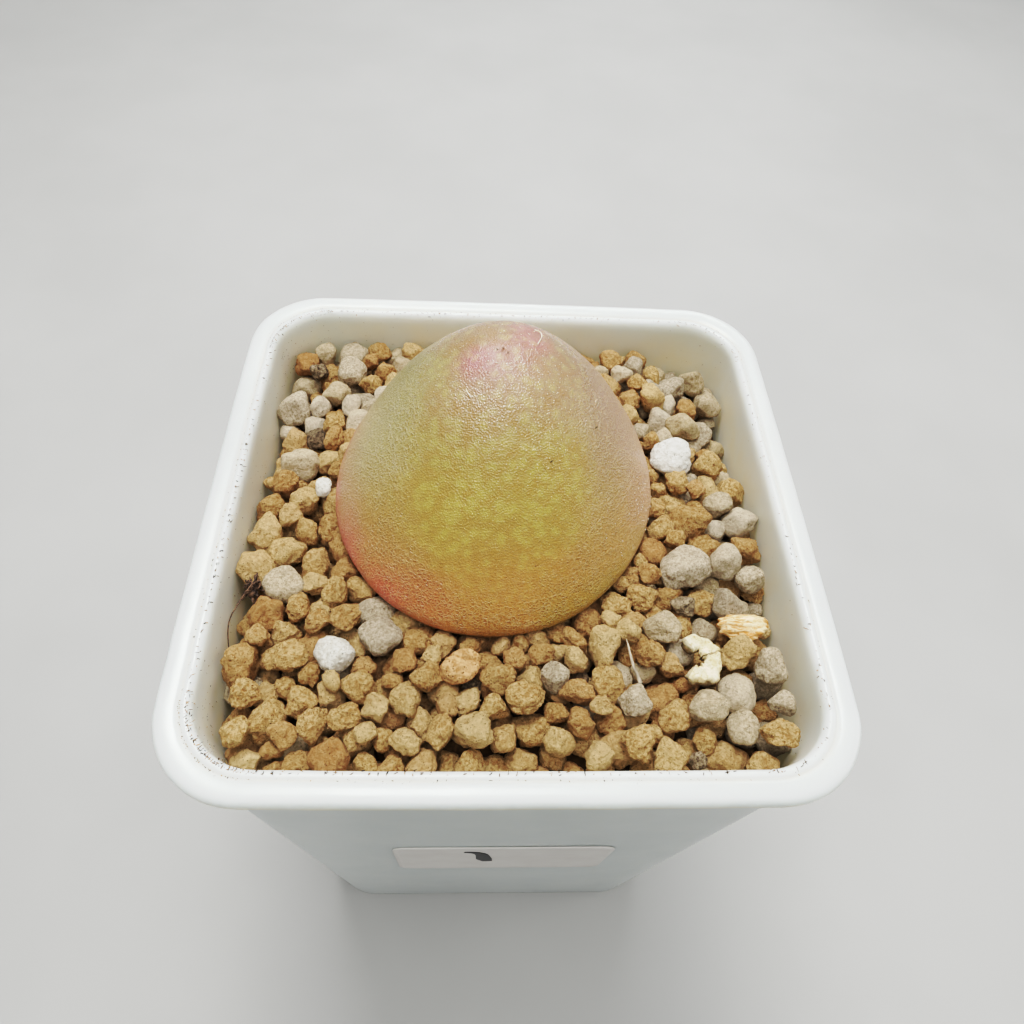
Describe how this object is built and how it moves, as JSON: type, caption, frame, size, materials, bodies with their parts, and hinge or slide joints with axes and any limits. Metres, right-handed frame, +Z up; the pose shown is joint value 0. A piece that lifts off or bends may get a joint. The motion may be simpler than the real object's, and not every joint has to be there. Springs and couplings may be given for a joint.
{
  "type": "potted conophytum",
  "caption": "Dome-shaped succulent body resting on clay and pumice grit in a tall square white plastic nursery pot with a rolled rim and a small label.",
  "frame": {"origin": "middle of the pot's flat base, on the surface it stands on", "axes": "+Z up through the plant, label on the -Y wall, +X to the right when facing the label"},
  "size_m": [0.0604, 0.0604, 0.0909],
  "materials": {
    "pot": "white moulded plastic, soft gloss, fine dirt specks in the rim groove",
    "label": "satin paper sticker, plain except for one short pen stroke",
    "soil_bed": "loose matte grains of fired clay and pumice",
    "conophytum": "waxy translucent succulent skin, yellow-green with rose and tan edges",
    "perlite": "chalky white expanded perlite",
    "pumice": "matte grey-beige pumice with fine pores",
    "akadama": "matte ochre fired clay with pores",
    "lava": "dark porous lava with pale specks",
    "creased_lump": "red-brown clay lump with a crease",
    "curled_husk": "dry cream-coloured husk with a torn crack",
    "bark_chip": "layered orange-tan bark",
    "moss_tuft": "dried dark moss",
    "straw_fibre": "grey dry fibre"
  },
  "bodies": {
    "root": {"pot": "pot", "label": "label", "soil_bed": "soil_bed", "conophytum": "conophytum", "akadama_front_left": "akadama", "akadama_front_middle": "akadama", "akadama_front_right": "akadama", "akadama_front_stub": "akadama", "akadama_left_corner": "akadama", "akadama_left_long": "akadama", "akadama_left_round": "akadama", "akadama_left_wall": "akadama", "akadama_right_corner": "akadama", "akadama_right_round": "akadama", "bark_chip": "bark_chip", "creased_lump": "creased_lump", "curled_husk": "curled_husk", "lava_back_left": "lava", "lava_front": "lava", "lava_right": "lava", "moss_tuft": "moss_tuft", "perlite_front_left": "perlite", "perlite_left_small": "perlite", "perlite_right": "perlite", "pumice_back_left": "pumice", "pumice_front_left": "pumice", "pumice_front_middle": "pumice", "pumice_front_right": "pumice", "pumice_right_corner": "pumice", "pumice_right_front": "pumice", "pumice_right_large": "pumice", "pumice_right_near": "pumice", "pumice_right_wall": "pumice", "straw_fibre": "straw_fibre"}
  },
  "joints": []
}
